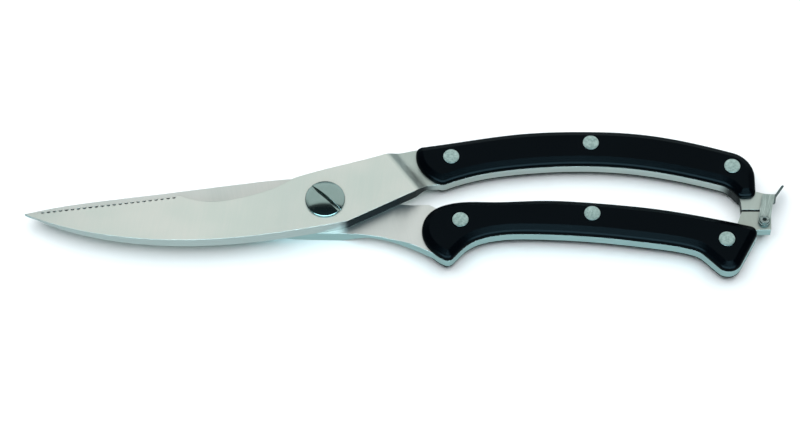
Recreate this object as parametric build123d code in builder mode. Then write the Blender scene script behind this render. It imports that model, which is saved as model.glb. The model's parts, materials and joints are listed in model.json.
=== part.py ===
from build123d import *
import os

# Poultry shears, about 249 mm long, lying closed on their back face.
# Frame: origin where the pivot axis meets the resting plane, blades toward -X,
# handles toward +X, +Z up through the screw head.

# ---- heights above the resting plane
SCALE_T = 3.0            # one handle scale
TANG_T = 3.6             # steel tang between two scales
Z_TANG = SCALE_T
Z_TANG_TOP = Z_TANG + TANG_T
Z_SCALE_TOP = Z_TANG_TOP + SCALE_T
Z_MID = Z_TANG + TANG_T / 2      # plane in which the two blades slide on each other
SLIDE_GAP = 0.1
HALF_T = 4.7             # each half at the pivot
Z_FRONT_LOW = Z_MID + SLIDE_GAP / 2
Z_FRONT_TOP = Z_FRONT_LOW + HALF_T
Z_BACK_TOP = Z_MID - SLIDE_GAP / 2
Z_BACK_LOW = Z_BACK_TOP - HALF_T

# ---- handles
EDGE_INSET = 2.4         # sloping shoulder round a scale's outer face
EDGE_DROP = 1.7
EDGE_ROUND = 1.8         # rounding between that shoulder and the side
CORNER_R = 2.5
RIVETS = {
    "upper_front": (41.3, 16.1),
    "upper_middle": (87.4, 21.3),
    "upper_rear": (133.6, 12.5),
    "lower_front": (44.1, -7.4),
    "lower_middle": (87.1, -5.1),
    "lower_rear": (130.5, -14.5),
}
RIVET_HEAD_R = 2.65
RIVET_HEAD_T = 1.1
RIVET_BODY_R = 1.9
RIVET_PIN_R = 1.2
FIT = 0.03

# ---- pivot
SHANK_R = 3.0
THREAD_R = 2.4
HEAD_R = 6.5
HEAD_SIDE = 0.6
HEAD_BREAK = 0.12        # bevel between the side and the dome
HEAD_DOME = 1.5
SLOT_DEPTH = 1.8
HEAD_GAP = 0.05
SLOT_ANGLE = -43
WASHER_R = 5.4
WASHER_T = 0.5
NUT_R = 6.0
NUT_T = 1.2
HUB_R = 4.0
POCKET_R = 5.4
POCKET_D = 1.6
SPRING_WIRE = 0.8
SPRING_R = 4.2
OPEN_ANGLE = 32
LEG_ANGLE = 100          # where the spring's upper leg lies
TRACK_R = 7.6
TRACK_START = LEG_ANGLE - OPEN_ANGLE - 12
TRACK_END = LEG_ANGLE + 12

# ---- blades
TIP = (-98.5, -3.0)
EDGE_END = (-47.8, 3.6)
EDGE_T = 0.4             # thickness left at a cutting edge
TEETH = 24
TOOTH_R = 0.65
TOOTH_DEPTH = 0.8
EDGE_DIR = (Vector(*EDGE_END) - Vector(*TIP)).normalized()
EDGE_OUT = Vector(-EDGE_DIR.Y, EDGE_DIR.X)
TOOTH_PITCH = (Vector(*EDGE_END) - Vector(*TIP)).length / (TEETH + 2)
HOLLOW_D = 0.6           # relief in the back half under the teeth

# ---- latch
LATCH_X = 143.3
LATCH_Y = -6.7
LATCH_LEAN = 10.9        # the clip leans toward the handle ends
SHEET = 0.8
LATCH_WASHER_T = 0.3
Z_PLATE_TOP = Z_TANG_TOP + LATCH_WASHER_T + 0.05
Z_PLATE_BACK = Z_TANG - LATCH_WASHER_T - 0.05 - SHEET
TUBE_R = 1.0
TUBE_BORE_R = 0.7
TUBE_HEAD_R = 1.5
TUBE_HEAD_T = 0.45


# Outline of the upper handle, shared by its tang and both its scales.
with BuildSketch() as upper_outline:
    with BuildLine():
        upper_front = Spline((38.6, 6.7), (33.2, 9.8), (30.3, 14.2), (30.2, 20.4))
        upper_back = Spline(
            upper_front @ 1,
            (44.2, 22.6),
            (64.0, 25.6),
            (84.0, 26.5),
            (104.0, 25.5),
            (120.0, 22.5),
            (132.0, 19.2),
            (141.1, 16.3),
        )
        Polyline(upper_back @ 1, (141.0, 2.0), (135.6, 1.6), (132.0, 6.0))
        Spline(
            (132.0, 6.0),
            (118.0, 9.8),
            (100.0, 13.0),
            (83.6, 13.9),
            (66.0, 13.0),
            (50.0, 10.5),
            upper_front @ 0,
        )
    make_face()
    upper_points = upper_outline.vertices()
    upper_corners = [(38.6, 6.7), (30.2, 20.4), (141.0, 2.0), (135.6, 1.6)]
    fillet([upper_points.sort_by_distance(p)[0] for p in upper_corners], radius=CORNER_R)
    fillet(upper_outline.vertices().sort_by_distance((132.0, 6.0))[0], radius=8)
    fillet(upper_outline.vertices().sort_by_distance((141.1, 16.3))[0], radius=9.5)

# Outline of the lower handle: a chin behind the blades and a heel at the rear.
with BuildSketch() as lower_outline:
    with BuildLine():
        lower_front = Spline(
            (40.6, -21.5),
            (35.3, -18.4),
            (31.6, -11.5),
            (33.6, -4.5),
            (40.7, -0.6),
            (55.0, 0.1),
            (70.0, 0.6),
            (89.7, -0.4),
            (109.0, -2.6),
            (128.5, -6.4),
            (141.9, -9.6),
        )
        Polyline(lower_front @ 1, (133.6, -25.2), (128.9, -24.9), (122.2, -18.2))
        Spline(
            (122.2, -18.2),
            (108.0, -14.9),
            (89.4, -12.6),
            (68.0, -11.4),
            (54.0, -12.3),
            (46.5, -15.4),
            lower_front @ 0,
            tangents=((-1, 0.45), (-1, -1)),
        )
    make_face()
    lower_points = lower_outline.vertices()
    lower_corners = [(40.6, -21.5), (141.9, -9.6)]
    fillet([lower_points.sort_by_distance(p)[0] for p in lower_corners], radius=CORNER_R)
    for heel_point, heel_radius in (((133.6, -25.2), 4.6), ((128.9, -24.9), 4), ((122.2, -18.2), 8)):
        fillet(lower_outline.vertices().sort_by_distance(heel_point)[0], radius=heel_radius)

# Tab at the rear end of the upper tang, with the nose that the latch catches.
with BuildSketch() as upper_tab:
    with BuildLine():
        tab_inner = Spline((131.0, 6.5), (134.8, 4.0), (136.2, -2.3), tangents=((1, -0.3), (0.05, -1)))
        tab_outer = Polyline(
            tab_inner @ 1,
            (146.1, -2.3),
            (146.1, -0.4),
            (144.9, 0.1),
            (144.3, 3.6),
            (140.5, 4.6),
            (138.0, 9.0),
            tab_inner @ 0,
        )
    make_face()

# Tab at the rear end of the lower tang, which carries the latch.
with BuildSketch() as lower_tab:
    with BuildLine():
        Polyline(
            (133.6, -10.0),
            (136.2, -3.0),
            (145.8, -3.0),
            (145.4, -9.7),
            (139.0, -9.9),
            (137.0, -13.0),
            close=True,
        )
    make_face()
    fillet(lower_tab.vertices().sort_by(Axis.X)[-1:], radius=0.6)


# ---- front half: serrated blade, screw side of the pivot, upper tang
FRONT_PROFILE = Plane(origin=(25.9, 10.1, 0), x_dir=(0.805, 0.593, 0), z_dir=(0.593, -0.805, 0))

with BuildPart() as front_half:
    with BuildSketch() as front_plan:
        with BuildLine():
            Line(TIP, EDGE_END)
            notch = Spline(
                EDGE_END,
                (-43.5, 1.6),
                (-37.8, 0.3),
                (-31.3, 0.6),
                (-22.0, 2.6),
                (-16.0, 4.7),
                (-11.9, 6.9),
                (-8.6, 8.6),
                tangents=((1, -0.5), (1, 0.35)),
            )
            Spline(
                notch @ 1,
                (6.4, 13.1),
                (17.5, 16.3),
                (26.0, 19.1),
                (33.0, 20.5),
                tangents=((1, 0.33), (1, 0.2)),
            )
            Polyline((33.0, 20.5), (42.0, 14.0), (38.6, 7.4), (33.2, 6.3), (29.6, 3.3), (7.4, -8.0))
            Spline(
                (7.4, -8.0),
                (-13.0, -11.9),
                (-40.5, -14.8),
                (-63.2, -13.8),
                (-86.3, -8.6),
                TIP,
            )
        make_face()
        add(upper_outline.sketch)
        add(upper_tab.sketch)
    extrude(amount=12)
    # thickness: slides on the other half, steps down behind the pivot to the tang
    with BuildSketch(FRONT_PROFILE) as front_profile:
        with BuildLine():
            Line((-160, Z_FRONT_TOP), (-1.2, Z_FRONT_TOP))
            Spline((-1.2, Z_FRONT_TOP), (1.7, 8.1), (5.5, Z_TANG_TOP), tangents=((1, -0.22), (1, 0)))
            Polyline(
                (5.5, Z_TANG_TOP),
                (160, Z_TANG_TOP),
                (160, Z_TANG),
                (7.0, Z_TANG),
                (2.0, Z_FRONT_LOW),
                (-160, Z_FRONT_LOW),
                (-160, Z_FRONT_TOP),
            )
        make_face()
    extrude(amount=160, both=True, mode=Mode.INTERSECT)
    # ground face of the blade, running out into the flat round the pivot
    with BuildSketch(Plane.YZ.offset(-100)) as grind_tip:
        with BuildLine():
            Polyline((0.2, 3.6), (-11.8, 8.6), (-11.8, 14), (0.2, 14), close=True)
        make_face()
    with BuildSketch(Plane.YZ.offset(-50)) as grind_middle:
        with BuildLine():
            Polyline((7.0, 4.3), (-20.0, 10.5), (-20.0, 14), (7.0, 14), close=True)
        make_face()
    with BuildSketch(Plane.YZ.offset(-13)) as grind_root:
        with BuildLine():
            Polyline((13.0, 9.55), (-20.0, 9.7), (-20.0, 14), (13.0, 14), close=True)
        make_face()
    loft(ruled=True, mode=Mode.SUBTRACT)
    # teeth along the cutting edge
    with BuildSketch() as teeth:
        for i in range(TEETH):
            tooth = Vector(*TIP) + EDGE_DIR * (TOOTH_PITCH * (i + 2)) + EDGE_OUT * (TOOTH_R - TOOTH_DEPTH)
            with Locations(tooth):
                Circle(TOOTH_R)
    extrude(amount=12, mode=Mode.SUBTRACT)
    # pivot bore, washer seat under the screw head, spring pocket
    with Locations((0, 0, Z_FRONT_TOP)):
        CounterBoreHole(SHANK_R + FIT, WASHER_R + 0.1, WASHER_T, depth=HALF_T)
    with BuildSketch(Plane.XY.offset(Z_FRONT_LOW)) as front_pocket:
        Circle(POCKET_R)
    extrude(amount=POCKET_D, mode=Mode.SUBTRACT)
    # arc-shaped track, so that the spring's leg can stay behind as the half turns
    with BuildSketch(Plane.XY.offset(Z_FRONT_LOW)) as leg_track:
        with BuildLine():
            CenterArc((0, 0), POCKET_R - 0.8, TRACK_START, TRACK_END - TRACK_START)
            CenterArc((0, 0), TRACK_R, TRACK_START, TRACK_END - TRACK_START)
            for angle in (TRACK_START, TRACK_END):
                Line(
                    Vector(POCKET_R - 0.8, 0).rotate(Axis.Z, angle),
                    Vector(TRACK_R, 0).rotate(Axis.Z, angle),
                )
        make_face()
    extrude(amount=POCKET_D, mode=Mode.SUBTRACT)
    # rivet bores through the tang
    with Locations(*[(x, y, Z_TANG_TOP) for name, (x, y) in RIVETS.items() if "upper" in name]):
        Hole(RIVET_BODY_R + FIT, depth=TANG_T)


# ---- back half: plain blade, nut side of the pivot, lower tang
BACK_PROFILE = Plane(origin=(0, 0, 0), x_dir=(0.94, -0.34, 0), z_dir=(-0.34, -0.94, 0))

with BuildPart() as back_half:
    with BuildSketch() as back_plan:
        with BuildLine():
            Spline(
                TIP,
                (-86.9, -0.3),
                (-64.1, 3.1),
                (-41.2, 6.3),
                (-21.6, 9.1),
                (-8.0, 10.2),
                (4.0, 8.6),
                (13.0, 5.2),
                (20.0, 2.2),
                (26.1, 0.4),
                (34.0, -0.5),
            )
            Polyline((34.0, -0.5), (44.0, -6.0), (40.6, -21.2))
            Spline((40.6, -21.2), (27.7, -14.7), (19.0, -11.6), (7.0, -10.2), (-14.0, -9.3))
            Spline((-14.0, -9.3), (-50.0, -8.2), (-80.0, -6.9), (-92.0, -5.7), TIP)
        make_face()
        add(lower_outline.sketch)
        add(lower_tab.sketch)
    extrude(amount=12)
    with BuildSketch(BACK_PROFILE) as back_profile:
        with BuildLine():
            Line((-160, Z_BACK_TOP), (22.5, Z_BACK_TOP))
            Spline((22.5, Z_BACK_TOP), (32.6, Z_TANG_TOP), tangents=((1, 0), (1, 0)))
            Polyline(
                (32.6, Z_TANG_TOP),
                (160, Z_TANG_TOP),
                (160, Z_TANG),
                (16.5, Z_TANG),
                (9.0, Z_BACK_LOW),
                (-160, Z_BACK_LOW),
                (-160, Z_BACK_TOP),
            )
        make_face()
    extrude(amount=160, both=True, mode=Mode.INTERSECT)
    # ground face of the blade, on the resting side, leaving its lower edge sharp
    with BuildSketch(Plane.YZ.offset(-100)) as back_grind_tip:
        with BuildLine():
            Polyline((-9.0, 6.0), (4.0, 1.2), (4.0, -3), (-9.0, -3), close=True)
        make_face()
    with BuildSketch(Plane.YZ.offset(-50)) as back_grind_middle:
        with BuildLine():
            Polyline((-12.0, 5.1), (9.0, -0.4), (9.0, -4), (-12.0, -4), close=True)
        make_face()
    with BuildSketch(Plane.YZ.offset(-13)) as back_grind_root:
        with BuildLine():
            Polyline((-12.0, 0.05), (13.0, -0.1), (13.0, -4), (-12.0, -4), close=True)
        make_face()
    loft(ruled=True, mode=Mode.SUBTRACT)
    # hollow under the teeth of the other half
    with BuildSketch(Plane.XY.offset(Z_BACK_TOP)) as hollow:
        with BuildLine():
            Polyline(
                Vector(*TIP) + EDGE_DIR * 5.5 - EDGE_OUT * 0.1,
                Vector(*EDGE_END) - EDGE_DIR * 1.5 - EDGE_OUT * 0.1,
                Vector(*EDGE_END) - EDGE_DIR * 1.5 - EDGE_OUT * 2.0,
                Vector(*TIP) + EDGE_DIR * 5.5 - EDGE_OUT * 0.9,
                close=True,
            )
        make_face()
    extrude(amount=-HOLLOW_D, mode=Mode.SUBTRACT)
    # pivot bore with the nut's seat below and the spring pocket above
    with Locations((0, 0, Z_BACK_TOP)):
        Hole(HUB_R + FIT, depth=HALF_T)
    with BuildSketch(Plane.XY.offset(Z_BACK_LOW - 0.1)) as nut_seat:
        Circle(NUT_R + 0.05)
    extrude(amount=NUT_T + 0.05, mode=Mode.SUBTRACT)
    with BuildSketch(Plane.XY.offset(Z_BACK_TOP)) as back_pocket:
        Circle(POCKET_R)
        with Locations((5.6, 0)):
            Rectangle(4.4, 1.3)
    extrude(amount=-POCKET_D, mode=Mode.SUBTRACT)
    with Locations(*[(x, y, Z_TANG_TOP) for name, (x, y) in RIVETS.items() if "lower" in name]):
        Hole(RIVET_BODY_R + FIT, depth=TANG_T)
    with Locations((LATCH_X, LATCH_Y, Z_TANG_TOP)):
        Hole(TUBE_R + FIT, depth=TANG_T)


# ---- handle scales: moulded, rounded outside, bored for the rivets
def build_scale(outline, level, outer_side, names):
    with BuildPart() as scale:
        with BuildSketch(Plane.XY.offset(level)) as plan:
            add(outline.sketch)
        extrude(amount=SCALE_T)
        seat = level + SCALE_T if outer_side > 0 else level
        outer = scale.faces().sort_by(Axis.Z)[-1 if outer_side > 0 else 0]
        chamfer(outer.edges(), length=EDGE_INSET, length2=EDGE_DROP, reference=outer)
        shoulder_z = seat - outer_side * EDGE_DROP
        shoulder = scale.edges().filter_by(
            lambda edge: abs((edge @ 0).Z - shoulder_z) < 0.01 and abs((edge @ 0.5).Z - shoulder_z) < 0.01
        )
        fillet(shoulder, radius=EDGE_ROUND)
        for name in names:
            x, y = RIVETS[name]
            with Locations(Location((x, y, seat), (0 if outer_side > 0 else 180, 0, 0))):
                CounterBoreHole(RIVET_BODY_R + FIT, RIVET_HEAD_R + FIT, RIVET_HEAD_T, depth=SCALE_T)
    return scale


upper_names = ["upper_front", "upper_middle", "upper_rear"]
lower_names = ["lower_front", "lower_middle", "lower_rear"]
scales = {
    "upper_front_scale": build_scale(upper_outline, Z_TANG_TOP, 1, upper_names),
    "upper_back_scale": build_scale(upper_outline, 0, -1, upper_names),
    "lower_front_scale": build_scale(lower_outline, Z_TANG_TOP, 1, lower_names),
    "lower_back_scale": build_scale(lower_outline, 0, -1, lower_names),
}


# ---- two-part rivets: a tube headed at the back, a pin headed at the front
PIN_TIP = Z_SCALE_TOP - RIVET_HEAD_T - 5.6
rivets = {}
for rivet_name, (rivet_x, rivet_y) in RIVETS.items():
    with BuildPart() as rivet_tube:
        with Locations((rivet_x, rivet_y, 0)):
            Cylinder(RIVET_HEAD_R, RIVET_HEAD_T - 0.02, align=(Align.CENTER, Align.CENTER, Align.MIN))
            Cylinder(
                RIVET_BODY_R,
                Z_SCALE_TOP - RIVET_HEAD_T - 0.1,
                align=(Align.CENTER, Align.CENTER, Align.MIN),
            )
        with Locations((rivet_x, rivet_y, Z_SCALE_TOP - RIVET_HEAD_T - 0.1)):
            Hole(RIVET_PIN_R + FIT, depth=6.0)
    with BuildPart() as rivet_pin:
        with Locations((rivet_x, rivet_y, Z_SCALE_TOP)):
            Cylinder(RIVET_HEAD_R, RIVET_HEAD_T - 0.02, align=(Align.CENTER, Align.CENTER, Align.MAX))
        with Locations((rivet_x, rivet_y, PIN_TIP)):
            Cylinder(
                RIVET_PIN_R,
                Z_SCALE_TOP - 0.5 - PIN_TIP,
                align=(Align.CENTER, Align.CENTER, Align.MIN),
            )
    rivets[rivet_name + "_rivet_tube"] = rivet_tube
    rivets[rivet_name + "_rivet_pin"] = rivet_pin


# ---- pivot screw: slotted domed head, smooth shank, threaded end as a plain pin
HEAD_LOW = Z_FRONT_TOP + HEAD_GAP
DOME_RIM = HEAD_R - HEAD_BREAK
DOME_R = (DOME_RIM**2 + HEAD_DOME**2) / (2 * HEAD_DOME)
DOME_MIDDLE = (DOME_R**2 - DOME_RIM**2 / 4) ** 0.5 - DOME_R + HEAD_DOME
with BuildPart() as pivot_screw:
    with BuildSketch(Plane.XZ) as screw_half:
        with BuildLine():
            Polyline(
                (0, 1.3),
                (THREAD_R, 1.3),
                (THREAD_R, Z_BACK_TOP - POCKET_D - 0.1),
                (SHANK_R, Z_BACK_TOP - POCKET_D - 0.1),
                (SHANK_R, HEAD_LOW),
                (HEAD_R, HEAD_LOW),
                (HEAD_R, HEAD_LOW + HEAD_SIDE - HEAD_BREAK),
                (DOME_RIM, HEAD_LOW + HEAD_SIDE),
            )
            ThreePointArc(
                (DOME_RIM, HEAD_LOW + HEAD_SIDE),
                (DOME_RIM / 2, HEAD_LOW + HEAD_SIDE + DOME_MIDDLE),
                (0, HEAD_LOW + HEAD_SIDE + HEAD_DOME),
            )
            Line((0, HEAD_LOW + HEAD_SIDE + HEAD_DOME), (0, 1.3))
        make_face()
    revolve(axis=Axis.Z)
    with BuildSketch(Plane.XY.offset(HEAD_LOW + HEAD_SIDE + HEAD_DOME)) as slot:
        with Locations(Location((0, 0, 0), (0, 0, SLOT_ANGLE))):
            Rectangle(20, 1.1)
    extrude(amount=-SLOT_DEPTH, mode=Mode.SUBTRACT)

# ---- sleeve nut: closed flat bottom, hub up through the back half
with BuildPart() as pivot_nut:
    Cylinder(NUT_R, NUT_T, align=(Align.CENTER, Align.CENTER, Align.MIN))
    chamfer(pivot_nut.edges().group_by(Axis.Z)[0], length=0.2)
    Cylinder(HUB_R, Z_BACK_TOP - POCKET_D - 0.15, align=(Align.CENTER, Align.CENTER, Align.MIN))
    with Locations((0, 0, Z_BACK_TOP - POCKET_D - 0.15)):
        Hole(THREAD_R + FIT, depth=Z_BACK_TOP - POCKET_D - 0.15 - 1.2)

# ---- friction washer under the screw head
with BuildPart() as pivot_washer:
    Cylinder(WASHER_R, WASHER_T - 0.04, align=(Align.CENTER, Align.CENTER, Align.MIN))
    Cylinder(
        SHANK_R + 0.1,
        WASHER_T,
        align=(Align.CENTER, Align.CENTER, Align.MIN),
        mode=Mode.SUBTRACT,
    )
pivot_washer.part.position = (0, 0, Z_FRONT_TOP - WASHER_T + 0.02)

# ---- opening spring: a coil round the shank with a leg into each half
COIL_LOW = Z_BACK_TOP - POCKET_D + 0.15 + SPRING_WIRE / 2
COIL_HIGH = Z_FRONT_LOW + POCKET_D - 0.15 - SPRING_WIRE / 2
COIL_TURNS = 2 + LEG_ANGLE / 360
with BuildPart() as opening_spring:
    with BuildLine() as coil:
        Helix(
            pitch=(COIL_HIGH - COIL_LOW) / COIL_TURNS,
            height=COIL_HIGH - COIL_LOW,
            radius=SPRING_R,
            center=(0, 0, COIL_LOW),
        )
    with BuildSketch(Plane(origin=coil.line @ 0, z_dir=coil.line % 0)) as wire_section:
        Circle(SPRING_WIRE / 2)
    sweep(path=coil.line, is_frenet=True)
    for leg_angle, leg_z in ((0, COIL_LOW), (LEG_ANGLE, COIL_HIGH)):
        with Locations(Location((0, 0, leg_z), (0, 0, leg_angle)) * Location((SPRING_R, 0, 0), (0, 90, 0))):
            Cylinder(
                SPRING_WIRE / 2,
                7.0 - SPRING_R,
                align=(Align.CENTER, Align.CENTER, Align.MIN),
            )
            Sphere(SPRING_WIRE / 2)

# ---- latch: a folded sheet clip over the two tabs, with a flared thumb lever
with BuildSketch() as clip_strip:
    with BuildLine():
        CenterArc((0, 0), 2.0, 180, 180)
        Polyline((2.0, 0), (1.85, 3.0), (1.85, 7.2), (2.6, 7.6), (2.6, 10.2), (-1.95, 9.5), (-2.0, 0))
    make_face()
    Circle(TUBE_R + FIT, mode=Mode.SUBTRACT)
with BuildSketch() as clip_back_strip:
    with BuildLine():
        CenterArc((0, 0), 2.0, 180, 180)
        Polyline((2.0, 0), (1.85, 3.0), (1.85, 9.8), (2.6, 10.2), (2.6, 12.0), (0.4, 12.0), (-2.0, 8.6), (-2.0, 0))
    make_face()
    Circle(TUBE_R + FIT, mode=Mode.SUBTRACT)
with BuildSketch() as clip_wall:
    with BuildLine():
        wall_line = Polyline((2.25, 6.8), (2.25, 9.1), (4.2, 13.6))
        offset(amount=SHEET / 2 - 0.05, side=Side.BOTH)
    make_face()
LEVER_SLANT = Vector(0, -0.461, 0.883)
WALL_H = Z_PLATE_TOP + SHEET - Z_PLATE_BACK

latch_place = Location((LATCH_X, LATCH_Y, 0), (0, 0, -LATCH_LEAN))
with BuildPart() as latch_clip:
    with BuildSketch(Plane.XY.offset(Z_PLATE_TOP)) as clip_front_plan:
        add(clip_strip.sketch)
    extrude(amount=SHEET)
    with BuildSketch(Plane.XY.offset(Z_PLATE_BACK)) as clip_back_plan:
        add(clip_back_strip.sketch)
    extrude(amount=SHEET)
    with BuildSketch(Plane.XY.offset(Z_PLATE_TOP + SHEET)) as clip_wall_plan:
        add(clip_wall.sketch)
    extrude(amount=WALL_H / LEVER_SLANT.Z, dir=-LEVER_SLANT)
latch_clip.part.position = latch_place.position
latch_clip.part.orientation = latch_place.orientation

# ---- tubular rivet that the clip turns on, and its two washers
with BuildPart() as latch_rivet:
    with Locations((LATCH_X, LATCH_Y, Z_PLATE_BACK - TUBE_HEAD_T - 0.05)):
        Cylinder(TUBE_HEAD_R, TUBE_HEAD_T, align=(Align.CENTER, Align.CENTER, Align.MIN))
        Cylinder(
            TUBE_R,
            WALL_H + 2 * TUBE_HEAD_T + 0.1,
            align=(Align.CENTER, Align.CENTER, Align.MIN),
        )
    with Locations((LATCH_X, LATCH_Y, Z_PLATE_TOP + SHEET + 0.05)):
        Cylinder(TUBE_HEAD_R, TUBE_HEAD_T, align=(Align.CENTER, Align.CENTER, Align.MIN))
    with Locations((LATCH_X, LATCH_Y, Z_PLATE_TOP + SHEET + 0.05 + TUBE_HEAD_T)):
        Hole(TUBE_BORE_R)
latch_washers = {}
for washer_name, washer_z in (
    ("latch_front_washer", Z_TANG_TOP + 0.02),
    ("latch_back_washer", Z_TANG - LATCH_WASHER_T - 0.02),
):
    with BuildPart() as latch_washer:
        with BuildSketch(Plane.XY.offset(washer_z)) as washer_ring:
            with Locations((LATCH_X, LATCH_Y)):
                Circle(1.9)
                Circle(TUBE_R + 0.06, mode=Mode.SUBTRACT)
        extrude(amount=LATCH_WASHER_T)
    latch_washers[washer_name] = latch_washer

# ---- export, one file per piece
os.makedirs("parts", exist_ok=True)
pieces = {
    "front_half": front_half,
    "back_half": back_half,
    **scales,
    **rivets,
    "pivot_screw": pivot_screw,
    "pivot_nut": pivot_nut,
    "pivot_washer": pivot_washer,
    "opening_spring": opening_spring,
    "latch_clip": latch_clip,
    "latch_rivet": latch_rivet,
    **latch_washers,
}
for piece_name, piece in pieces.items():
    piece.part.label = piece_name
    export_step(piece.part, f"parts/{piece_name}.step")
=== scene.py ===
# %% [markdown]
# # Poultry shears in Blender
#
# This lesson dresses a pair of poultry shears whose steel, plastic and hinges were already designed to
# size. The engineering model is loaded as a fixed frame. Every Blender piece is measured from it, in
# metres, so nothing has to be fitted by eye. We give each part its real finish, turn a few small parts
# anew with softer edges, and then build a small studio round them.

import json
import math

import bmesh
import bpy
from mathutils import Matrix, Vector


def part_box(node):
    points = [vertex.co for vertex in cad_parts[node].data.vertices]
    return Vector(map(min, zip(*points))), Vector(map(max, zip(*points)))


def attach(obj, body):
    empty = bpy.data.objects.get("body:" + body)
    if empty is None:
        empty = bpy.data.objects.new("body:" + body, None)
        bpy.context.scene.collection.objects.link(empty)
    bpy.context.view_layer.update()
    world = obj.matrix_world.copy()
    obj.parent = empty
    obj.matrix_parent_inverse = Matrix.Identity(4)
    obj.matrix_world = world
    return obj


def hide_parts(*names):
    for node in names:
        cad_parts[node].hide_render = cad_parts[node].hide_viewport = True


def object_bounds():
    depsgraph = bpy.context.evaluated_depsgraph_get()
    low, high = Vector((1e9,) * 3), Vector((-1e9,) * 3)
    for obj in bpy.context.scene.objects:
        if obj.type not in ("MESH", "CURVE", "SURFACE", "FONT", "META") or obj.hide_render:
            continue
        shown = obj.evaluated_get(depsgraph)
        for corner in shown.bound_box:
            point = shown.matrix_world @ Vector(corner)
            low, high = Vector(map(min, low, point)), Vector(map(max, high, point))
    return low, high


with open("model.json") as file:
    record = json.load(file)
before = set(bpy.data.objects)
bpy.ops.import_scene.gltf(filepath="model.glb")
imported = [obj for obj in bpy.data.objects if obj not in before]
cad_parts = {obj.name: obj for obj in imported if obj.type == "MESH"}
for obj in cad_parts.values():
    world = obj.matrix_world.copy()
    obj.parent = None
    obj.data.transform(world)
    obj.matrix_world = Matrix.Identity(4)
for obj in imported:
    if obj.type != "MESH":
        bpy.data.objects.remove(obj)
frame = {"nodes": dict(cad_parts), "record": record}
cad_low, cad_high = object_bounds()
nodes = frame["nodes"]
MM = 0.001
print("nodes:", len(nodes), "size in mm:", [round(side / MM, 1) for side in cad_high - cad_low])

# %% [markdown]
# ## Writing shader maths as plain expressions
#
# A procedural finish is a little calculation that runs for each spot on the surface. Drawing it as a web
# of nodes is hard to read, so we wrap a socket in a small class: `1 - mask * 0.5` then adds the Math nodes
# by itself. `Finish` owns one material. Its method `node` makes any other kind of node, and `place`,
# `noise`, `ramp`, `mix`, `axis` and `relief` are shorthand for the kinds that are used most.


# %% A socket that can be used in arithmetic
class Wire:
    """One output socket of a material, usable in sums and products."""

    def __init__(self, finish, socket):
        self.finish = finish
        self.socket = socket

    def math(self, operation, first, second):
        return self.finish.node("ShaderNodeMath", {"operation": operation}, {0: first, 1: second})

    def __add__(self, other):
        return self.math("ADD", self, other)

    def __radd__(self, other):
        return self.math("ADD", other, self)

    def __sub__(self, other):
        return self.math("SUBTRACT", self, other)

    def __rsub__(self, other):
        return self.math("SUBTRACT", other, self)

    def __mul__(self, other):
        return self.math("MULTIPLY", self, other)

    def __rmul__(self, other):
        return self.math("MULTIPLY", other, self)


# %% A material with one method for every kind of node
class Finish:
    """One procedural material. Numbers that stay the same are set straight on the shader."""

    def __init__(self, name, **fixed):
        self.material = bpy.data.materials.new(name)
        self.material.use_nodes = True
        self.tree = self.material.node_tree
        self.shader = self.tree.nodes["Principled BSDF"]
        for socket, value in fixed.items():
            self.shader.inputs[socket.replace("_", " ")].default_value = value

    def node(self, kind, settings=None, sockets=None, out=0):
        made = self.tree.nodes.new(kind)
        for setting, value in (settings or {}).items():
            setattr(made, setting, value)
        for socket, value in (sockets or {}).items():
            self.feed(made.inputs[socket], value)
        return Wire(self, made.outputs[out])

    def feed(self, socket, value):
        if isinstance(value, Wire):
            self.tree.links.new(value.socket, socket)
        else:
            socket.default_value = value

    def place(self, scale=(1, 1, 1), turn=0.0, centre=(0, 0, 0)):
        """Object coordinates, moved to centre, turned about Z and stretched."""
        here = self.node("ShaderNodeTexCoord", out="Object")
        moved = self.node("ShaderNodeVectorMath", {"operation": "SUBTRACT"}, {0: here, 1: centre})
        turned = self.node("ShaderNodeMapping", {}, {"Vector": moved, "Rotation": (0, 0, turn)})
        return self.node("ShaderNodeVectorMath", {"operation": "MULTIPLY"}, {0: turned, 1: scale})

    def noise(self, where, detail=3.0, rough=0.55):
        sockets = {"Vector": where, "Scale": 1.0, "Detail": detail, "Roughness": rough}
        return self.node("ShaderNodeTexNoise", {}, sockets)

    def ramp(self, value, low, high):
        """0 below low, 1 above high, a soft step between."""
        settings = {"interpolation_type": "SMOOTHSTEP"}
        return self.node("ShaderNodeMapRange", settings, {"Value": value, "From Min": low, "From Max": high})

    def mix(self, share, first, second):
        """The colour first, going over to second as share goes from 0 to 1."""
        settings = {"data_type": "RGBA"}
        return self.node("ShaderNodeMix", settings, {0: share, 6: first, 7: second}, out=2)

    def axis(self, vector, name):
        return self.node("ShaderNodeSeparateXYZ", {}, {0: vector}, out=name)

    def output(self, **channels):
        for socket, value in channels.items():
            self.feed(self.shader.inputs[socket.replace("_", " ")], value)

    def relief(self, height, strength, depth, edge=0.0):
        """Bumps from height, over edges that are rounded by edge metres in the shading."""
        sockets = {"Height": height, "Strength": strength, "Distance": depth}
        if edge:
            sockets["Normal"] = self.node("ShaderNodeBevel", {"samples": 6}, {"Radius": edge})
        return self.node("ShaderNodeBump", {}, sockets)


def colour(red, green, blue):
    """A shader colour from the 0 to 255 numbers of a paint chip."""
    chip = [value / 255 for value in (red, green, blue)]
    linear = [value / 12.92 if value <= 0.04045 else ((value + 0.055) / 1.055) ** 2.4 for value in chip]
    return (*linear, 1)


def shaded(tone, share):
    """A tone at a share of its strength, for the dark side of a pattern."""
    return (*(share * part for part in tone[:3]), 1)


def dress(finish, *names):
    """Gives the named frame nodes a finish; their shapes stay as they are."""
    for name in names:
        for material_slot in nodes[name].material_slots:
            material_slot.material = finish.material
    print(finish.material.name, "on", len(names), "nodes")


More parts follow.
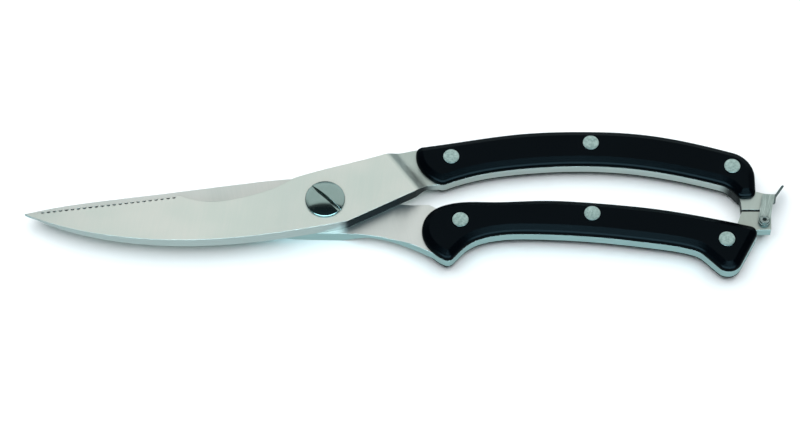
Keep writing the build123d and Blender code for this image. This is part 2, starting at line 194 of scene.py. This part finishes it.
# %% [markdown]
# ## Ground blade steel
#
# The two halves are forged, blanked and then surface-ground. Grinding leaves very fine parallel lines on
# the flat faces, which stretch reflections out until the steel looks almost evenly pale. The side walls
# are only blanked and tumbled, so they are darker and rougher. One mask, made from how far a face looks
# up or down, splits the two. More masks paint two stretches of the front half's wall nearly black, behind
# the pivot and at the rear tab. This is painted shade and painted dark reflection, and it stays black
# from every side and in every pose. They also take the front half's face a little darker beyond its
# shoulder, and the back half's on its rear tab.


# %% A finish for ground steel
ZONE_FADE = 2 * MM
# Nearly black painted shade and painted dark reflection for two stretches of the front half's wall
PAINTED_WALL_SHADE = colour(20, 24, 26)


def ground_steel(name, streak_turn, face_light, face_dark, wall_tone, tang_side, painted_shade_zones=()):
    steel = Finish(name, Metallic=1.0, IOR=2.5)
    streaks = steel.noise(steel.place((1500, 70, 200), streak_turn), detail=5)
    clouds = steel.noise(steel.place((45, 45, 45)), detail=2)
    sparkle = steel.noise(steel.place((2600, 2600, 2600)), detail=1)
    direction = steel.node("ShaderNodeTexCoord", out="Normal")
    upright = steel.axis(direction, "Z")
    flat = steel.ramp(upright * upright, 0.45, 0.8)
    face = steel.mix(streaks * 0.5 + steel.ramp(clouds, 0.3, 0.7) * 0.5, face_dark, face_light)
    wall_lines = steel.noise(steel.place((120, 120, 2400)), detail=3)
    wall = steel.mix(wall_lines, shaded(wall_tone, 0.7), wall_tone)
    along = steel.axis(steel.place(), "X")
    # Paint the wall nearly black between start and end: painted shade that is fixed to the steel
    for start, end in painted_shade_zones:
        begun = steel.ramp(along, start - ZONE_FADE, start + ZONE_FADE)
        ended = steel.ramp(along, end - ZONE_FADE, end + 1.5 * ZONE_FADE)
        wall = steel.mix(begun * (1 - ended), wall, PAINTED_WALL_SHADE)
    tang_start, tang_turn, tang_tone = tang_side
    across_shoulder = steel.axis(steel.place((1, 1, 1), tang_turn), "X")
    tang = steel.ramp(across_shoulder, tang_start, tang_start + ZONE_FADE)
    face = steel.mix(tang, face, steel.mix(streaks, shaded(tang_tone, 0.85), tang_tone))
    steel.output(
        Base_Color=steel.mix(flat, wall, face),
        Roughness=0.36 + 0.1 * streaks + (1 - flat) * 0.12,
        Normal=steel.relief(streaks * 0.8 + sparkle * 0.2, 0.12, 0.02 * MM, edge=0.18 * MM),
    )
    return steel


# %% Steel for the two halves
front_steel = ground_steel(
    "ground_steel_front",
    streak_turn=0.15,
    face_light=colour(226, 227, 220),
    face_dark=colour(206, 217, 209),
    wall_tone=colour(206, 207, 201),
    tang_side=(25.6 * MM, -0.635, colour(192, 203, 196)),
    # Stretches behind the pivot and at the rear tab whose walls get painted shade
    painted_shade_zones=((6 * MM, 34 * MM), (131 * MM, 152 * MM)),
)
back_steel = ground_steel(
    "ground_steel_back",
    streak_turn=-0.2,
    face_light=colour(224, 225, 221),
    face_dark=colour(198, 207, 202),
    wall_tone=colour(178, 198, 194),
    tang_side=(128 * MM, 0.0, colour(184, 194, 186)),
)
dress(front_steel, "front_half")
dress(back_steel, "back_half")

# %% [markdown]
# ## Moulded handle scales
#
# The scales are glass-filled plastic, nearly black with a cool tint. Moulded plastic is never perfectly
# smooth: there is a faint orange peel from the mould and fine rubbing marks from hands. Both live in the
# roughness and the bump, because the colour itself hardly changes.

# %% Plastic for the four scales
COOL_SHEEN = (0.62, 0.9, 1.0, 1)
grip = Finish("moulded_black_plastic", IOR=1.48, Specular_IOR_Level=0.058, Specular_Tint=COOL_SHEEN)
peel = grip.noise(grip.place((900, 900, 900)), detail=2)
rubbed = grip.noise(grip.place((260, 1900, 600), 0.1), detail=4)
smudge = grip.noise(grip.place((38, 60, 60)), detail=2)
grip.output(
    Base_Color=grip.mix(smudge, colour(1, 2, 4), colour(2, 4, 7)),
    Roughness=0.17 + 0.10 * rubbed + 0.06 * smudge,
    Normal=grip.relief(peel * 0.7 + rubbed * 0.3, 0.10, 0.03 * MM),
)
dress(grip, "upper_front_scale", "upper_back_scale", "lower_front_scale", "lower_back_scale")

# %% [markdown]
# ## Small hardware finishes
#
# Rivet heads are ground almost flush with the plastic and come out satin and a little blotchy. The pivot
# screw is turned and polished, so its fine marks run in rings round its own axis. The latch is bent from
# brushed sheet, with lines that all run one way. A dark ring of painted shade lies round its rivet, and
# its bent lever is coloured darker than the rest.


# %% Satin metal for rivets, washers and wire
def satin_metal(name, light, dark, rough, scale):
    satin = Finish(name, Metallic=1.0)
    blotch = satin.noise(satin.place((scale, scale, scale)), detail=4, rough=0.65)
    fine = satin.noise(satin.place((3000, 700, 3000), 0.6), detail=3)
    satin.output(
        Base_Color=satin.mix(satin.ramp(blotch, 0.3, 0.7), dark, light),
        Roughness=rough + 0.14 * fine,
        Normal=satin.relief(blotch * 0.6 + fine * 0.4, 0.2, 0.03 * MM, edge=0.12 * MM),
    )
    return satin


# %% Turned metal for the screw and its nut
def turned_metal(name, tone, dark, rough, centre):
    turned = Finish(name, Metallic=1.0)
    around = turned.place((1, 1, 0), centre=centre)
    radius = turned.node("ShaderNodeVectorMath", {"operation": "LENGTH"}, {0: around}, out="Value")
    ring_sockets = {"W": radius, "Scale": 5200.0, "Detail": 3.0}
    rings = turned.node("ShaderNodeTexNoise", {"noise_dimensions": "1D"}, ring_sockets)
    haze = turned.noise(turned.place((500, 500, 500)), detail=3)
    turned.output(
        Base_Color=turned.mix(rings * 0.6 + haze * 0.4, dark, tone),
        Roughness=rough + 0.08 * rings + 0.05 * haze,
        Normal=turned.relief(rings, 0.08, 0.02 * MM, edge=0.15 * MM),
    )
    return turned


# %% Brushed sheet for the latch
latch_low, latch_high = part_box("latch_rivet")
LATCH_AXIS = (latch_low + latch_high) / 2
# Radius of the ring of painted shade round the latch rivet
SHADE_RING_R = 1.6 * MM
LEVER_START = 1.95 * MM


def brushed_sheet(name, light, dark, turn, edge):
    sheet = Finish(name, Metallic=1.0)
    lines = sheet.noise(sheet.place((3200, 160, 160), turn), detail=5, rough=0.7)
    clouds = sheet.noise(sheet.place((260, 260, 260)), detail=2)
    upright = sheet.axis(sheet.node("ShaderNodeTexCoord", out="Normal"), "Z")
    bend = 1 - sheet.ramp(upright * upright, 0.4, 0.9)
    level = sheet.place((1, 1, 0), centre=LATCH_AXIS)
    from_rivet = sheet.node("ShaderNodeVectorMath", {"operation": "LENGTH"}, {0: level}, out="Value")
    # A dark ring of painted shade round the latch rivet, where the plate meets the rivet head
    painted_shade_ring = 1 - sheet.ramp(from_rivet, SHADE_RING_R, SHADE_RING_R + 0.35 * MM)
    across_clip = sheet.axis(sheet.place((1, 1, 1), turn, centre=LATCH_AXIS), "X")
    lever = sheet.ramp(across_clip, LEVER_START, LEVER_START + 0.2 * MM)
    plate = sheet.mix(sheet.ramp(lines, 0.25, 0.75), dark, light)
    plate = sheet.mix(painted_shade_ring * 0.75, plate, colour(40, 52, 52))
    plate = sheet.mix(lever * 0.8, plate, colour(58, 72, 74))
    sheet.output(
        Base_Color=sheet.mix(bend, plate, colour(84, 98, 100)),
        Roughness=0.3 + 0.14 * lines + 0.05 * clouds,
        Normal=sheet.relief(lines, 0.35, 0.02 * MM, edge=edge),
    )
    return sheet


# %% Dress the hardware
PIVOT_AXIS = (0, 0, 0)
rivet_satin = satin_metal(
    "satin_rivet",
    light=colour(186, 208, 203),
    dark=colour(140, 166, 161),
    rough=0.36,
    scale=1300,
)
screw_polish = turned_metal(
    "turned_screw",
    tone=colour(154, 175, 171),
    dark=colour(128, 150, 146),
    rough=0.10,
    centre=PIVOT_AXIS,
)
clip_brush = brushed_sheet(
    "brushed_clip",
    light=colour(196, 210, 204),
    dark=colour(118, 136, 132),
    turn=0.19,
    edge=0.1 * MM,
)
wire_satin = satin_metal(
    "drawn_wire",
    light=colour(180, 184, 186),
    dark=colour(140, 146, 148),
    rough=0.3,
    scale=2200,
)
washer_satin = satin_metal(
    "stamped_washer",
    light=colour(172, 186, 182),
    dark=colour(110, 124, 122),
    rough=0.34,
    scale=1800,
)
dress(screw_polish, "pivot_screw", "pivot_nut")
dress(clip_brush, "latch_clip")
dress(wire_satin, "opening_spring")
dress(washer_satin, "pivot_washer", "latch_front_washer", "latch_back_washer", "latch_rivet")

# %% [markdown]
# ## Rivets with softened, slightly crowned heads
#
# Each pair of scales is held by three two-part rivets: a tube with a head on the back and a pin with a
# head on the front. A flat disc would look stamped on. The real head is crowned by about a tenth of a
# millimetre and its rim is broken, so it catches a thin line of light. A turned part is best made by
# spinning half of its profile round its axis.


# %% A helper that makes an object from a bmesh
def new_piece(name, form, smooth_below=35):
    """Makes an object from a bmesh, smooth except where faces meet at more than smooth_below degrees."""
    for face in form.faces:
        face.smooth = True
    for edge in form.edges:
        edge.smooth = len(edge.link_faces) == 2 and edge.calc_face_angle(0) < math.radians(smooth_below)
    mesh = bpy.data.meshes.new(name)
    form.to_mesh(mesh)
    form.free()
    piece = bpy.data.objects.new(name, mesh)
    bpy.context.scene.collection.objects.link(piece)
    print(name, len(mesh.polygons), "faces")
    return piece


# %% A helper that turns a profile into a part
def turned_part(name, profile, centre, steps=64):
    """Spins (radius, height) points round the upright axis through centre. All lengths are in metres."""
    form = bmesh.new()
    corners = [form.verts.new((radius, 0, height)) for radius, height in profile]
    lines = [form.edges.new(pair) for pair in zip(corners, corners[1:])]
    bmesh.ops.spin(
        form,
        geom=corners + lines,
        cent=(0, 0, 0),
        axis=(0, 0, 1),
        dvec=(0, 0, 0),
        angle=2 * math.pi,
        steps=steps,
        use_merge=True,
        use_duplicate=False,
    )
    bmesh.ops.remove_doubles(form, verts=form.verts, dist=1e-7)
    bmesh.ops.recalc_face_normals(form, faces=form.faces)
    bmesh.ops.translate(form, verts=form.verts, vec=centre)
    return new_piece(name, form)


# %% A helper for the crown of a head
def crown(rim, height, rise, steps=5):
    """Profile points of a shallow dome, from its rim to its middle."""
    ball = (rim**2 + rise**2) / (2 * rise)
    points = []
    for step in range(steps + 1):
        radius = rim * (1 - step / steps)
        points.append((radius, height + rise - ball + math.sqrt(ball**2 - radius**2)))
    return points


# %% One pin and one tube
HEAD_BREAK = 0.12 * MM
CROWN_RISE = 0.12 * MM
HEAD_T = 1.08 * MM
PIN_R = 1.2 * MM
PIN_TIP_T = 0.3 * MM
TUBE_R = 1.9 * MM
TUBE_BORE_R = 1.23 * MM
TUBE_BORE_DEPTH = 6.0 * MM
BODIES = frame["record"]["behaviour"]["bodies"]
bodies_of = {node: body for body, members in BODIES.items() for node in members}


def rivet_pin(node):
    low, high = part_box(node)
    middle = (low + high) / 2
    head_r = (high.x - low.x) / 2
    seat = high.z - HEAD_T
    profile = [(0, low.z), (PIN_R * 0.8, low.z), (PIN_R, low.z + PIN_TIP_T), (PIN_R, seat), (head_r, seat)]
    profile += [(head_r, high.z - HEAD_BREAK), (head_r - 0.3 * HEAD_BREAK, high.z - 0.3 * HEAD_BREAK)]
    profile += crown(head_r - HEAD_BREAK, high.z, CROWN_RISE)
    return turned_part(node + "_crowned", profile, (middle.x, middle.y, 0))


def rivet_tube(node):
    low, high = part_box(node)
    middle = (low + high) / 2
    head_r = (high.x - low.x) / 2
    bore_end = high.z - TUBE_BORE_DEPTH
    crowned = [(radius, -height) for radius, height in crown(head_r - HEAD_BREAK, -CROWN_RISE, CROWN_RISE)]
    profile = crowned[::-1]
    profile += [(head_r, CROWN_RISE + HEAD_BREAK), (head_r, HEAD_T), (TUBE_R, HEAD_T), (TUBE_R, high.z)]
    profile += [(TUBE_BORE_R, high.z), (TUBE_BORE_R, bore_end), (0, bore_end)]
    return turned_part(node + "_crowned", profile, (middle.x, middle.y, 0))


# %% Turn the twelve rivet halves
for row in ("upper", "lower"):
    for spot in ("front", "middle", "rear"):
        for half, turn_it in (("pin", rivet_pin), ("tube", rivet_tube)):
            node = f"{row}_{spot}_rivet_{half}"
            rivet = turn_it(node)
            rivet.data.materials.append(rivet_satin.material)
            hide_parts(node)
            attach(rivet, bodies_of[node])

# %% [markdown]
# ## A small studio
#
# The shears lie on a pale table. Three soft panels are enough: a wide one above and behind lays an even
# sheen on the steel faces, a front one draws a cool line along the sloping plastic edges, and an overhead
# one lights the table and drops one short soft shadow toward the viewer. The first two show only in
# reflections and don't light the table; the third lights the table and doesn't show in reflections.


# %% Table and backdrop
TABLE_R = 3.0
BACKDROP_R = 3.5
TABLE_GAP = 0.02 * MM


def stage_piece(name, form, finish):
    piece = new_piece(name, form)
    piece.data.materials.append(finish.material)
    return piece


table_top = Finish("pale_table", Roughness=0.9)
grain = table_top.noise(table_top.place((30, 30, 30)), detail=2)
table_top.output(Base_Color=table_top.mix(grain, (0.88, 0.885, 0.89, 1), (0.9, 0.9, 0.9, 1)))
table_form = bmesh.new()
bmesh.ops.create_circle(table_form, cap_ends=True, segments=64, radius=TABLE_R)
bmesh.ops.translate(table_form, verts=table_form.verts, vec=(0, 0, cad_low.z - TABLE_GAP))
table = stage_piece("table", table_form, table_top)
table.visible_glossy = False

backdrop_paper = Finish("backdrop_paper", Emission_Strength=1.0, Emission_Color=(0.95, 0.95, 0.95, 1))
backdrop_form = bmesh.new()
bmesh.ops.create_uvsphere(backdrop_form, u_segments=48, v_segments=24, radius=BACKDROP_R)
bmesh.ops.reverse_faces(backdrop_form, faces=backdrop_form.faces)
backdrop = stage_piece("backdrop", backdrop_form, backdrop_paper)
backdrop.visible_glossy = False
backdrop.visible_diffuse = False
backdrop.visible_shadow = False
backdrop.visible_transmission = False


# %% Soft light panels
PANEL_DISTANCE = 1.3
TARGET = Vector((0.02, 0, 0))


def panel(name, lean, width, height, radiance, tint=(1, 1, 1), diffuse=True, glossy=True):
    """A rectangular light that leans from overhead toward +Y by lean degrees and faces the shears."""
    lamp = bpy.data.lights.new(name, "AREA")
    lamp.shape = "RECTANGLE"
    lamp.size = width
    lamp.size_y = height
    lamp.energy = radiance * math.pi * width * height
    lamp.color = tint
    holder = bpy.data.objects.new(name, lamp)
    bpy.context.scene.collection.objects.link(holder)
    tilt = math.radians(lean)
    way = Vector((0, math.sin(tilt), math.cos(tilt)))
    holder.matrix_world = Matrix.Translation(TARGET + way * PANEL_DISTANCE) @ Matrix.Rotation(-tilt, 4, "X")
    holder.visible_diffuse = diffuse
    holder.visible_glossy = glossy
    holder.visible_camera = False
    print(name, round(lamp.energy, 1), "W")


panel("sheen_panel", 42, 2.8, 1.7, 0.95, tint=(0.98, 1.0, 0.985), diffuse=False)
panel("edge_panel", -62, 2.6, 0.85, 10.0, tint=(0.60, 0.87, 1.0), diffuse=False)
panel("table_light", 14, 3.0, 2.3, 2.5, tint=(0.93, 0.98, 1.0), glossy=False)

# %% World: a cool room, lighter below the horizon and almost black overhead
world = bpy.data.worlds.new("room")
bpy.context.scene.world = world
world.use_nodes = True
room = world.node_tree
look = room.nodes.new("ShaderNodeTexCoord")
split = room.nodes.new("ShaderNodeSeparateXYZ")
how_high = room.nodes.new("ShaderNodeMapRange")
how_high.inputs["From Min"].default_value = -1.0
shade = room.nodes.new("ShaderNodeValToRGB")
ROOM_STOPS = [
    (0.0, (0.60, 0.72, 0.72)),
    (0.45, (0.34, 0.44, 0.47)),
    (0.57, (0.20, 0.24, 0.27)),
    (0.76, (0.016, 0.024, 0.03)),
    (1.0, (0.01, 0.016, 0.02)),
]
for place, tone in ROOM_STOPS[2:]:
    shade.color_ramp.elements.new(place)
for element, (place, tone) in zip(shade.color_ramp.elements, ROOM_STOPS):
    element.position = place
    element.color = (*tone, 1)
room.links.new(look.outputs["Generated"], split.inputs[0])
room.links.new(split.outputs["Z"], how_high.inputs["Value"])
room.links.new(how_high.outputs[0], shade.inputs[0])
room.links.new(shade.outputs[0], room.nodes["Background"].inputs["Color"])

# %% [markdown]
# ## Camera
#
# A long lens from about a metre away keeps the shears almost free of perspective. It looks down at them
# at 62 degrees.

# %% Camera
LOOKING_DOWN = 62
CAMERA_PLACE = (0.024455, -0.465391, 0.871469)
lens = bpy.data.cameras.new("camera")
lens.lens = 135
lens.sensor_width = 36
camera = bpy.data.objects.new("camera", lens)
camera.location = CAMERA_PLACE
camera.rotation_euler = (math.radians(90 - LOOKING_DOWN), 0, 0)
bpy.context.scene.collection.objects.link(camera)
bpy.context.scene.camera = camera
bpy.context.scene.view_settings.view_transform = "Standard"
